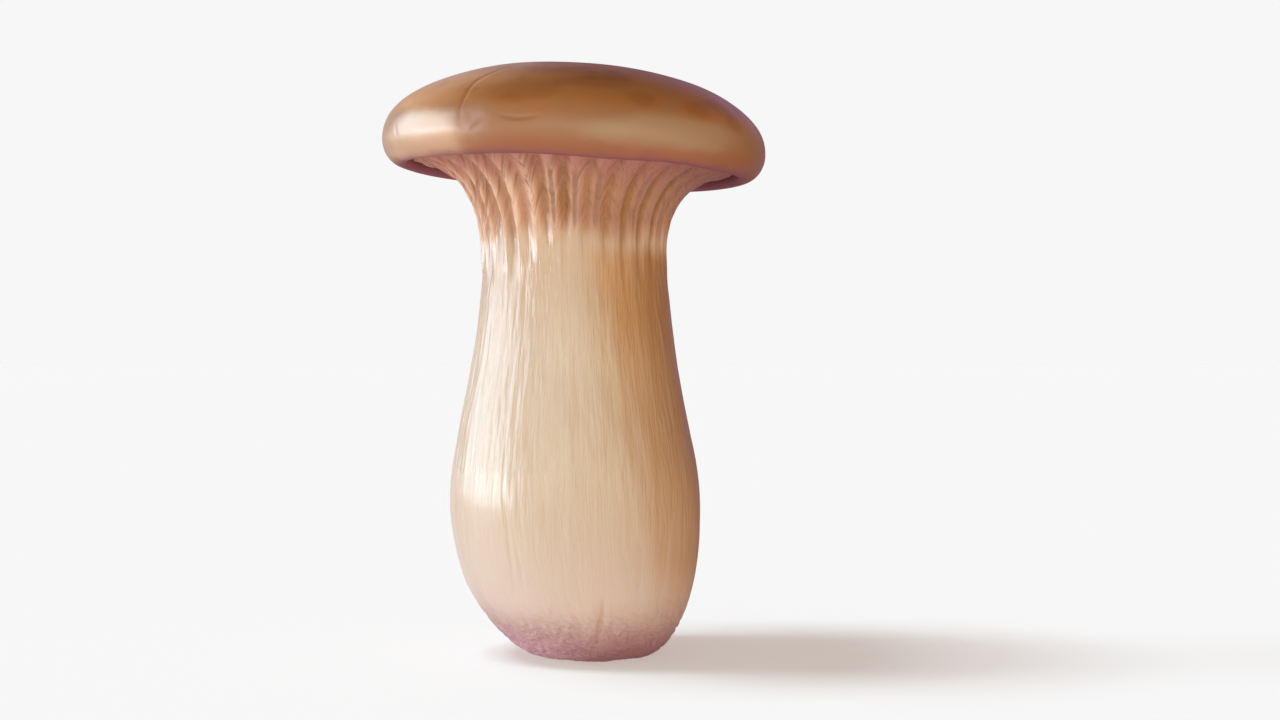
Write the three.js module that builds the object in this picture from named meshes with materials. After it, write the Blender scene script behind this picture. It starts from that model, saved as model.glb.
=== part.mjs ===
// A king oyster mushroom, whole, standing on its trimmed foot.
// Millimetres, +Z up. The origin is on the surface it stands on, under the middle of the cap.
// It grew as one piece and is held here as its two colours: the pale stem, with the gills that run
// down from the cap into it, and the brown cap, whose rolled rim closes round the gills' outer edge.
import * as THREE from "three";

// Driving dimensions.
const RIM_HEIGHT = 98.2; // the cap's lowest edge, at its middle
const CAP_RADIUS = 39.2;
const CAP_DEPTH = 21.7; // rim to crown
const CAP_TILT = THREE.MathUtils.degToRad(2.6); // down towards +X
const CAP_SHIFT = -0.25; // along X, which brings the widest part of the cap over the origin
const BELLY_RADIUS = 25.6;
const BELLY_SHIFT = 0.8; // along +Y, at half the stalk's height
const NECK_RADIUS = 18.7;
const NECK_HEIGHT = 77;
const FOOT_RADIUS = 10.2;
const FOOT_SHIFT = 3.5; // the foot grew to one side, along +X
const FOOT_SHIFT_HEIGHT = 34; // where the stem is back over the origin
const GILL_EDGE_RADIUS = 33.4;
const GILL_EDGE_HEIGHT = 1.5; // above the rim's lowest edge
const GILL_PLATE = 1.6; // how far the stem's flesh goes on up above the gills' outer edge
const SEAM = 0.3; // clearance between the two bodies
const DEPTH_SHARE = 0.975; // front to back, as a share of the width

// Ribs: the gills, as broad rounded ribs with narrow grooves between them.
const RIB_COUNT = 30;
const RIB_FACETS = 6;
const RIB_TURN = THREE.MathUtils.degToRad(3.5); // where the first crest is, from -Y towards +X
const RIB_SWAY = 0.05; // how far a rib strays from even spacing, as a share of the spacing
const GROOVE_DEPTH = 1.2;
const GROOVE_SHARPNESS = 2.2;
const GROOVE_LOPSIDED = 0.8; // how much sharper the grooves are towards +X, and wider towards -X
const RIB_FADE_LOW = 76; // the grooves have run out at this height
const RIB_FADE_HIGH = 88; // and are full depth from here up
const RIB_FADE_SPREAD = 4; // how much further up or down single grooves run out

// Which draw sets what.
const DEPTH_DRAW = 2;
const SWAY_DRAW = 3;
const FADE_DRAW = 10553;

// Outlines, as [radius, height] from the bottom up.
const STALK_OUTLINE = [
  [FOOT_RADIUS, 0],
  [12.7, 0.5],
  [16.9, 3.7],
  [21.1, 10],
  [23.9, 17.5],
  [BELLY_RADIUS, 28],
  [24.8, 39.5],
  [22.4, 51.5],
  [20, 65],
  [NECK_RADIUS, NECK_HEIGHT],
];
const FLARE_OUTLINE = [
  [NECK_RADIUS, NECK_HEIGHT],
  [19.2, 85.5],
  [21.3, 92],
  [24.6, 96.3],
  [29, 98.7],
  [GILL_EDGE_RADIUS, RIM_HEIGHT + GILL_EDGE_HEIGHT],
];
// The cap's, from the wall beside the gills round the rolled rim and over to the crown, as shares
// of CAP_RADIUS and CAP_DEPTH.
const CAP_OUTLINE = [
  [0.862, 0.065],
  [0.877, 0.012],
  [0.902, 0],
  [0.935, 0.019],
  [0.972, 0.081],
  [0.994, 0.165],
  [1, 0.245],
  [0.992, 0.355],
  [0.965, 0.463],
  [0.915, 0.566],
  [0.85, 0.657],
  [0.765, 0.747],
  [0.655, 0.833],
  [0.51, 0.912],
  [0.345, 0.966],
  [0.17, 0.992],
  [0, 1],
];

// Facets.
const STALK_RINGS = 27;
const FLARE_RINGS = 15;
const CAP_RINGS = 32;
const RIB_COLUMNS = RIB_COUNT * RIB_FACETS;
const STALK_COLUMNS = RIB_COLUMNS / 2;
const CAP_COLUMNS = 72;

// A repeatable draw from -1 to 1 for item i of a kind.
function draw(i, kind) {
  const wave = Math.sin(i * 12.9898 + kind * 78.233) * 43758.5453;
  return 2 * (wave - Math.floor(wave)) - 1;
}

// A smooth curve through [radius, height] points, sampled as often between each two of them, with
// the outward normal at each sample: {radius, height, outR, outZ}.
function sampleOutline(outline, count) {
  const points = outline.map(([radius, height]) => new THREE.Vector3(radius, 0, height));
  const curve = new THREE.CatmullRomCurve3(points, false, "centripetal");
  return Array.from({ length: count + 1 }, (_, i) => {
    const point = curve.getPoint(i / count);
    const tangent = curve.getTangent(i / count);
    return { radius: point.x, height: point.z, outR: tangent.z, outZ: -tangent.x };
  });
}

// A point of a section, which is a little shallower from front to back than it is wide.
function sectionPoint(angle, radius, height) {
  return new THREE.Vector3(
    radius * Math.cos(angle),
    radius * Math.sin(angle) * DEPTH_SHARE,
    height,
  );
}

// The depth of the grooves at a rib position, which is a whole number on each rib's crest.
function grooveDepth(ribPosition, height) {
  const groove = Math.floor(ribPosition);
  const spread = RIB_FADE_SPREAD * draw(groove, FADE_DRAW);
  const fade = THREE.MathUtils.smoothstep(height, RIB_FADE_LOW + spread, RIB_FADE_HIGH + spread);
  const towardsX = Math.sin((ribPosition / RIB_COUNT) * 2 * Math.PI);
  const sharpness = GROOVE_SHARPNESS + GROOVE_LOPSIDED * towardsX;
  const across = Math.sin(Math.PI * (ribPosition - groove)) ** sharpness;
  return GROOVE_DEPTH * (1 + 0.25 * draw(groove, DEPTH_DRAW)) * fade * across;
}

// The angle of a rib position, with each rib a little off its even place.
function ribAngle(ribPosition) {
  const low = Math.floor(ribPosition);
  const sway = (i) => RIB_SWAY * draw(i % RIB_COUNT, SWAY_DRAW);
  const swayed = ribPosition + THREE.MathUtils.lerp(sway(low), sway(low + 1), ribPosition - low);
  return RIB_TURN - Math.PI / 2 + (swayed / RIB_COUNT) * 2 * Math.PI;
}

// Leans a point of the upright stem over: the foot to its side, the belly back a little, and what
// is above the neck gradually into the cap's own tilted frame.
function leant(point) {
  const low = Math.max(0, 1 - point.z / FOOT_SHIFT_HEIGHT);
  const alongStalk = Math.min(1, point.z / NECK_HEIGHT);
  const upright = point.clone();
  upright.x += FOOT_SHIFT * low ** 2;
  upright.y += BELLY_SHIFT * Math.sin(Math.PI * alongStalk) ** 2;
  const tilted = new THREE.Vector3(point.x, point.y, point.z - RIM_HEIGHT)
    .applyAxisAngle(new THREE.Vector3(0, 1, 0), CAP_TILT)
    .add(new THREE.Vector3(CAP_SHIFT, 0, RIM_HEIGHT));
  return upright.lerp(tilted, THREE.MathUtils.smoothstep(point.z, NECK_HEIGHT, RIM_HEIGHT));
}

// A ring of the stem at an outline sample, with this many columns round it.
function stemRing(sample, columns) {
  return Array.from({ length: columns }, (_, j) => {
    const ribPosition = (j / columns) * RIB_COUNT;
    const angle = ribAngle(ribPosition);
    const depth = grooveDepth(ribPosition, sample.height);
    const radius = sample.radius - depth * sample.outR;
    return leant(sectionPoint(angle, radius, sample.height - depth * sample.outZ));
  });
}

// A closed geometry over a stack of rings, each with as many points as the next or a multiple of
// it. The first and last rings are closed by flat or shallow fans round their middles.
function skin(rings) {
  const positions = [];
  const faces = [];
  const starts = rings.map((ring) => {
    const start = positions.length / 3;
    ring.forEach((point) => positions.push(point.x, point.y, point.z));
    return start;
  });
  const at = (k, j) => starts[k] + (j % rings[k].length);

  rings.slice(1).forEach((upper, k) => {
    const lower = rings[k];
    const columns = Math.max(lower.length, upper.length);
    const below = columns / lower.length;
    const above = columns / upper.length;
    for (let j = 0; j < columns; j += 1) {
      const low = at(k, Math.floor(j / below));
      const lowNext = at(k, Math.floor((j + 1) / below));
      const high = at(k + 1, Math.floor(j / above));
      const highNext = at(k + 1, Math.floor((j + 1) / above));
      if (low !== lowNext) faces.push(low, lowNext, highNext);
      if (high !== highNext) faces.push(low, highNext, high);
    }
  });

  const fan = (k, turned) => {
    const middle = rings[k].reduce((sum, point) => sum.add(point), new THREE.Vector3());
    middle.divideScalar(rings[k].length);
    const centre = positions.length / 3;
    positions.push(middle.x, middle.y, middle.z);
    for (let j = 0; j < rings[k].length; j += 1) {
      const edge = turned ? [at(k, j + 1), at(k, j)] : [at(k, j), at(k, j + 1)];
      faces.push(centre, ...edge);
    }
  };
  fan(0, true);
  fan(rings.length - 1, false);

  const geometry = new THREE.BufferGeometry();
  geometry.setAttribute("position", new THREE.Float32BufferAttribute(positions, 3));
  geometry.setIndex(faces);
  geometry.computeVertexNormals();
  return geometry;
}

// The stem: foot, belly and neck, the ribbed gills flaring out under the cap, and the flat plate
// of flesh above them that the cap sits on.
function makeStem() {
  const stalk = sampleOutline(STALK_OUTLINE, STALK_RINGS).slice(0, -1);
  const flare = sampleOutline(FLARE_OUTLINE, FLARE_RINGS);
  const edge = flare.at(-1);
  const plate = { radius: edge.radius, height: edge.height + GILL_PLATE, outR: 1, outZ: 0 };
  const rings = [
    ...stalk.map((sample) => stemRing(sample, STALK_COLUMNS)),
    ...flare.map((sample) => stemRing(sample, RIB_COLUMNS)),
    stemRing(plate, RIB_COLUMNS),
  ];
  const flesh = new THREE.MeshStandardMaterial({ color: 0xd9bf9f, roughness: 0.42, metalness: 0 });
  const stem = new THREE.Mesh(skin(rings), flesh);
  stem.name = "stem";
  return stem;
}

// The cap, in its own frame, whose origin is the middle of the rim's plane: a flat seat over the
// gills, the rolled rim and the dome.
function makeCap() {
  const outline = CAP_OUTLINE.map(([radius, height]) => [radius * CAP_RADIUS, height * CAP_DEPTH]);
  const seat = GILL_EDGE_HEIGHT + GILL_PLATE + SEAM;
  const dome = sampleOutline(outline, CAP_RINGS).slice(0, -1);
  const wall = { radius: dome[0].radius, height: seat };
  const angles = Array.from({ length: CAP_COLUMNS }, (_, j) => (j / CAP_COLUMNS) * 2 * Math.PI);
  const rings = [wall, ...dome].map((sample) =>
    angles.map((angle) => sectionPoint(angle, sample.radius, sample.height)),
  );
  const skinBrown = new THREE.MeshStandardMaterial({ color: 0xa9703f, roughness: 0.35, metalness: 0 });
  const cap = new THREE.Mesh(skin(rings), skinBrown);
  cap.name = "cap";
  cap.position.set(CAP_SHIFT, 0, RIM_HEIGHT);
  cap.rotation.y = CAP_TILT;
  return cap;
}

const mushroom = new THREE.Group();
mushroom.add(makeStem(), makeCap());

export default mushroom;
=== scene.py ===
"""Finished look of a king oyster mushroom: its brown cap and its pale ribbed stem."""

import logging
import math
from collections.abc import Sequence
from dataclasses import dataclass
from enum import Enum
from typing import Any

import bmesh
import bpy
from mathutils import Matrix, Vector, noise


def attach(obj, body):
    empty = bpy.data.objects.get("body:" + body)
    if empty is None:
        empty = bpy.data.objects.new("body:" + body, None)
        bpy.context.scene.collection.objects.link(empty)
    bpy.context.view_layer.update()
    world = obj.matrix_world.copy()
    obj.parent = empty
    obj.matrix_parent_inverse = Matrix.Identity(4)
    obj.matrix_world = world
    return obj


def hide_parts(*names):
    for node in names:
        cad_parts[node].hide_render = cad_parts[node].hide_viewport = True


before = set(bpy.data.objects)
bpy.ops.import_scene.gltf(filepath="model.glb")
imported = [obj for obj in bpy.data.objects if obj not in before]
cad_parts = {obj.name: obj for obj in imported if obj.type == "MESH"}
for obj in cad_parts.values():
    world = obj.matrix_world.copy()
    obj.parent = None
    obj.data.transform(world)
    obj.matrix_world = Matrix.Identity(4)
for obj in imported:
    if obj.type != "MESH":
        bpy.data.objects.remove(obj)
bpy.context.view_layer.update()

log = logging.getLogger("mushroom")

MM = 0.001
MUSHROOM_MIDDLE = Vector((0.0, 0.0, 0.06))  # metres
DEPTH_SHARE = 0.975  # front to back, as a share of the width
RIM_HEIGHT = 98.2  # mm, the cap's lowest edge, at its middle
CAP_TILT = math.radians(2.6)  # down towards +X
CAP_SHIFT = -0.25  # mm, along X
FLOW_RADIUS = 20.0  # mm, the radius at which the "flow" attribute holds every section
INSET = 1.0  # mm, from the edge of a flat end to the ring inside it
REFINEMENT = 2  # how many times a skin's faces are divided in four
CURVE_STEPS = 2  # samples of each stretch of the cap's curves
TAPER_START = 0.02  # how far into its taper a crease's path starts
TAPER_POWER = 0.6  # how a crease gets deep from its ends: the nearer to 0, the more suddenly
SCATTER = (12.9898, 78.233, 43758.5453)  # unrelated numbers, which scatter the draws
# Which two of four knots each step of knot_curve blends between, level by level.
KNOT_SPANS = (((0, 1), (1, 2), (2, 3)), ((0, 2), (1, 3)), ((1, 2),))

Colour = tuple[float, float, float]
Point = tuple[float, float]
Place = tuple[float, float, float]


class Part(Enum):
    """The pieces, each by its node and its material slot."""

    STEM = ("stem", "stem_flesh")
    CAP = ("cap", "cap_skin")


class Way(Enum):
    """The ways that a skin's points are pushed, each by its direction and its sign."""

    INWARD = ("NORMAL", -1)
    UPWARD = ("Z", 1)


# ---------------------------------------------------------------- numbers and curves


def paint(red: int, green: int, blue: int) -> Colour:
    """Turns a colour's screen values into linear light.

    Args:
        red: Its red, from 0 to 255.
        green: Its green.
        blue: Its blue.

    Returns:
        The colour, from 0 to 1.
    """

    def linear(value: int) -> float:
        """Turns one screen value into linear light."""
        share = value / 255
        return share / 12.92 if share <= 0.04045 else ((share + 0.055) / 1.055) ** 2.4

    return linear(red), linear(green), linear(blue)


def smoothstep(low: float, high: float, value: float) -> float:
    """Rises smoothly from 0 at low to 1 at high, or falls so if low is the higher."""
    share = min(1.0, max(0.0, (value - low) / (high - low)))
    return share * share * (3 - 2 * share)


def bell(distance: float, width: float) -> float:
    """Falls smoothly from 1 at no distance to almost nothing at twice the width."""
    return math.exp(-((distance / width) ** 2))


def ridge(value: float, sharpness: float) -> float:
    """Falls from 1 where a noise is at 0 to nothing on both sides, faster if sharper."""
    return max(0.0, 1 - sharpness * abs(value))


def taper(along: float) -> float:
    """Fades a crease out at both ends of its path, from 0 to 1 and back to 0."""
    return math.sin(math.pi * min(1, along + TAPER_START)) ** TAPER_POWER


def draw(item: int, kind: int) -> float:
    """Makes a repeatable draw from -1 to 1.

    Args:
        item: Which thing it is for.
        kind: Which of that thing's values it is for.

    Returns:
        The same number every time for the same item and kind.
    """
    wave = math.sin(item * SCATTER[0] + kind * SCATTER[1]) * SCATTER[2]
    return 2 * (wave - math.floor(wave)) - 1


def knot_curve(knots: Sequence[Vector], at: float) -> Vector:
    """Finds a point of the smooth curve between the two middle ones of four knots.

    Args:
        knots: Four points, of which the curve passes the middle two.
        at: Where between those two, from 0 to 1.

    Returns:
        The point there.
    """
    times = [0.0]
    for first, second in zip(knots, knots[1:]):
        times.append(times[-1] + math.sqrt((second - first).length))
    now = times[1] + (times[2] - times[1]) * at
    level = list(knots)
    for spans in KNOT_SPANS:
        level = [
            first.lerp(second, (now - times[start]) / (times[end] - times[start]))
            for first, second, (start, end) in zip(level, level[1:], spans)
        ]
    return level[0]


def curve_through(points: Sequence[Sequence[float]], steps: Sequence[int]) -> list[Vector]:
    """Samples a smooth curve through points.

    Args:
        points: What the curve passes through.
        steps: How many samples each gap between two points gets.

    Returns:
        The samples, from the first point to the last.
    """
    knots = [Vector(point) for point in points]
    knots = [2 * knots[0] - knots[1], *knots, 2 * knots[-1] - knots[-2]]
    samples = [
        knot_curve(knots[gap : gap + 4], step / count)
        for gap, count in enumerate(steps)
        for step in range(count)
    ]
    return [*samples, knots[-2]]


def distance_to_path(point: Vector, path: Sequence[Vector]) -> tuple[float, float]:
    """Measures from a point to a path of straight stretches.

    Args:
        point: Where to measure from.
        path: The path's points.

    Returns:
        The distance to the path, and how far along it the nearest place is, from 0 to 1.
    """
    nearest = (math.inf, 0.0)
    for index, (start, end) in enumerate(zip(path, path[1:])):
        stretch = end - start
        share = (point - start).dot(stretch) / stretch.length_squared
        share = min(1.0, max(0.0, share))
        distance = (point - start - share * stretch).length
        nearest = min(nearest, (distance, (index + share) / (len(path) - 1)))
    return nearest


@dataclass(frozen=True)
class Band:
    """A band of heights that fades in and out, in mm.

    Attributes:
        low: Where it starts to fade in.
        full: Where it has faded in.
        fades: Where it starts to fade out.
        high: Where it has faded out.
    """

    low: float
    full: float
    fades: float
    high: float

    def share(self, height: float) -> float:
        """Finds how much of it there is at a height, from 0 to 1."""
        return smoothstep(self.low, self.full, height) * smoothstep(self.high, self.fades, height)


@dataclass(frozen=True)
class Ripple:
    """Smooth noise, from about -1 to 1, for the relief of a skin.

    Attributes:
        size: How big its spots are along each axis, in mm.
        start: Where in the noise it starts, in spots along each axis.
    """

    size: Place
    start: Place = (0.0, 0.0, 0.0)

    def spot(self, place: Vector) -> Vector:
        """Turns a place in mm into a place in the noise."""
        steps = zip(place, self.size, self.start)
        return Vector([here / size + start for here, size, start in steps])

    def at(self, place: Vector) -> float:
        """Reads the noise at a place in mm."""
        return noise.noise(self.spot(place))


# ---------------------------------------------------------------- modelling


@dataclass(frozen=True)
class Ring:
    """One ring of a lofted skin, in mm.

    Attributes:
        radius: Its radius.
        height: Where along the piece's own axis it belongs.
        middle: Its middle, which is on that axis if the piece grew straight.
        lean: How far it leans down towards +X, in radians.
    """

    radius: float
    height: float
    middle: Vector
    lean: float = 0.0


class Loft:
    """A skin grown from a disc by extruding its edge, ring by ring.

    It carries two attributes. "flow" is a place on the unrolled skin: the way round it as a
    circle of FLOW_RADIUS, and the way along it from its first ring. "rise" is the ring's height.
    """

    def __init__(self, name: str, columns: int, first: Ring) -> None:
        """Adds the disc that the skin starts from.

        Args:
            name: The piece's name.
            columns: How many points each ring has.
            first: The disc's place and size.
        """
        bpy.ops.object.select_all(action="DESELECT")
        bpy.ops.mesh.primitive_circle_add(
            vertices=columns, radius=first.radius * MM, fill_type="TRIFAN"
        )
        self.piece = bpy.context.object
        self.piece.name = self.piece.data.name = name
        self.piece.data.attributes.new("flow", "FLOAT_VECTOR", "POINT")
        self.piece.data.attributes.new("rise", "FLOAT", "POINT")
        self.ring = first
        self.travelled = 0.0
        bpy.ops.object.mode_set(mode="EDIT")
        bpy.ops.mesh.select_mode(type="EDGE")
        bpy.ops.mesh.select_all(action="SELECT")
        bpy.ops.transform.translate(value=first.middle * MM)
        self._mark()
        self._select_edge()

    def _select_edge(self) -> None:
        """Selects the open edge of the skin."""
        bpy.ops.mesh.select_all(action="DESELECT")
        mesh = bmesh.from_edit_mesh(self.piece.data)
        for edge in mesh.edges:
            edge.select_set(edge.is_boundary)
        bmesh.update_edit_mesh(self.piece.data)

    def _mark(self) -> None:
        """Gives the selected points their place on the unrolled skin."""
        mesh = bmesh.from_edit_mesh(self.piece.data)
        flow = mesh.verts.layers.float_vector["flow"]
        rise = mesh.verts.layers.float["rise"]
        for vert in mesh.verts:
            if vert.select:
                arm = vert.co / MM - self.ring.middle
                angle = math.atan2(arm.y, arm.x)
                around = Vector((math.cos(angle), math.sin(angle))) * FLOW_RADIUS
                vert[flow] = (around.x, around.y, self.travelled)
                vert[rise] = self.ring.height

    def extend(self, ring: Ring) -> None:
        """Extrudes the open edge to the next ring.

        Args:
            ring: The next ring.
        """
        growth = ring.radius / self.ring.radius
        step = Vector((ring.radius - self.ring.radius, ring.height - self.ring.height))
        centre = ring.middle * MM
        bpy.ops.mesh.extrude_region_move(
            TRANSFORM_OT_translate={"value": (ring.middle - self.ring.middle) * MM}
        )
        bpy.ops.transform.resize(value=(growth, growth, growth), center_override=centre)
        if ring.lean != self.ring.lean:
            bpy.ops.transform.rotate(
                value=self.ring.lean - ring.lean, orient_axis="Y", center_override=centre
            )
        self.travelled += step.length
        self.ring = ring
        self._mark()

    def close(self) -> bpy.types.Object:
        """Closes the last ring to its middle, and turns all faces outwards.

        Returns:
            The closed piece.
        """
        bpy.ops.mesh.edge_face_add()
        bpy.ops.mesh.poke()
        bpy.ops.mesh.select_all(action="SELECT")
        bpy.ops.mesh.normals_make_consistent(inside=False)
        bpy.ops.object.mode_set(mode="OBJECT")
        return self.piece


def apply_modifier(piece: bpy.types.Object, kind: str, **settings: Any) -> None:
    """Adds a modifier to a piece and applies it.

    Args:
        piece: The piece, which is the active object.
        kind: The modifier's type.
        settings: Its settings.
    """
    modifier = piece.modifiers.new(kind.lower(), kind)
    for name, value in settings.items():
        setattr(modifier, name, value)
    bpy.ops.object.modifier_apply(modifier=modifier.name)


def refine(piece: bpy.types.Object) -> None:
    """Subdivides a piece smoothly."""
    apply_modifier(piece, "SUBSURF", levels=REFINEMENT, render_levels=REFINEMENT)


def push(piece: bpy.types.Object, reaches: Sequence[float], way: Way) -> None:
    """Moves the points of a piece.

    Args:
        piece: The piece, which is the active object.
        reaches: How far each point goes, in mm.
        way: Which way they go.
    """
    direction, sign = way.value
    furthest = max(reaches)
    group = piece.vertex_groups.new(name="pushed")
    for index, reach in enumerate(reaches):
        if reach > 0:
            group.add((index,), reach / furthest, "REPLACE")
    settings = {"strength": sign * furthest * MM, "mid_level": 0.0, "direction": direction}
    apply_modifier(piece, "DISPLACE", vertex_group=group.name, **settings)
    piece.vertex_groups.clear()


def press(piece: bpy.types.Object, depths: Sequence[float]) -> None:
    """Presses a piece's skin in along its normals, by a depth in mm for each point."""
    push(piece, depths, Way.INWARD)


def stand(piece: bpy.types.Object) -> None:
    """Lifts the points that sank under the floor back up to it."""
    push(piece, [max(0.0, -vert.co.z / MM) for vert in piece.data.vertices], Way.UPWARD)


def swell(piece: bpy.types.Object, by: float) -> None:
    """Grows a piece outwards by some mm, which the relief pressed into it then takes back."""
    apply_modifier(piece, "DISPLACE", strength=by * MM, mid_level=0.0)


def squeeze(piece: bpy.types.Object) -> None:
    """Makes a piece a little shallower from front to back than it is wide.

    Args:
        piece: The piece, which is the active object. It is not used.
    """
    bpy.ops.object.mode_set(mode="EDIT")
    bpy.ops.mesh.select_all(action="SELECT")
    bpy.ops.transform.resize(value=(1, DEPTH_SHARE, 1), center_override=(0, 0, 0))
    bpy.ops.object.mode_set(mode="OBJECT")


def read_vectors(piece: bpy.types.Object, name: str) -> list[Vector]:
    """Reads a vector attribute of a piece's points."""
    return [Vector(item.vector) for item in piece.data.attributes[name].data]


def read_numbers(piece: bpy.types.Object, name: str) -> list[float]:
    """Reads a number attribute of a piece's points."""
    return [item.value for item in piece.data.attributes[name].data]


def write_vectors(piece: bpy.types.Object, name: str, values: Sequence[Vector]) -> None:
    """Writes a vector attribute on a piece's points."""
    layer = piece.data.attributes.new(name, "FLOAT_VECTOR", "POINT")
    layer.data.foreach_set("vector", [number for value in values for number in value])


def write_numbers(piece: bpy.types.Object, name: str, values: Sequence[float]) -> None:
    """Writes a number attribute on a piece's points."""
    layer = piece.data.attributes.new(name, "FLOAT", "POINT")
    layer.data.foreach_set("value", list(values))


def hand_over(piece: bpy.types.Object, part: Part, material: bpy.types.Material) -> None:
    """Finishes a piece: smooth, dressed, riding on the mushroom and standing for its node.

    Args:
        piece: The piece, which is the active object.
        part: Which part it is.
        material: What it is dressed in.
    """
    node, slot = part.value
    bpy.ops.object.shade_smooth()
    piece.data.materials.append(material)
    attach(piece, "root")
    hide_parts(node)
    log.info("%s: %d faces", piece.name, len(piece.data.polygons))


# ---------------------------------------------------------------- materials


class Signal:
    """A value in a node tree. Arithmetic on it adds Math nodes."""

    def __init__(self, bench: "Bench", socket: bpy.types.NodeSocket) -> None:
        """Wraps an output socket of a bench's tree."""
        self.bench = bench
        self.socket = socket

    def _math(self, operation: str, *values: "Signal | float") -> "Signal":
        """Adds a Math node."""
        inputs = dict(enumerate(values))
        return self.bench.add("ShaderNodeMath", {"operation": operation}, inputs)

    def __add__(self, other: "Signal | float") -> "Signal":
        """Adds."""
        return self._math("ADD", self, other)

    __radd__ = __add__

    def __sub__(self, other: "Signal | float") -> "Signal":
        """Subtracts."""
        return self._math("SUBTRACT", self, other)

    def __rsub__(self, other: float) -> "Signal":
        """Subtracts it from a number."""
        return self._math("SUBTRACT", other, self)

    def __mul__(self, other: "Signal | float") -> "Signal":
        """Multiplies."""
        return self._math("MULTIPLY", self, other)

    __rmul__ = __mul__

    def away(self, middle: float) -> "Signal":
        """Finds how far it is from a middle, either way."""
        return self._math("ABSOLUTE", self - middle)

    def rise(self, low: float, high: float) -> "Signal":
        """Maps it to a smooth rise from 0 to 1.

        Args:
            low: Where the rise starts.
            high: Where it ends. If low is the higher, it is a fall from 1 to 0 instead.

        Returns:
            The rise.
        """
        edges = {"Value": self, "From Min": low, "From Max": high}
        if low > high:
            edges |= {"From Min": high, "From Max": low, "To Min": 1.0, "To Max": 0.0}
        return self.bench.add("ShaderNodeMapRange", {"interpolation_type": "SMOOTHSTEP"}, edges)


Tint = tuple[Colour, Signal]  # a colour, and how much of it there is, from 0 to 1


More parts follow.
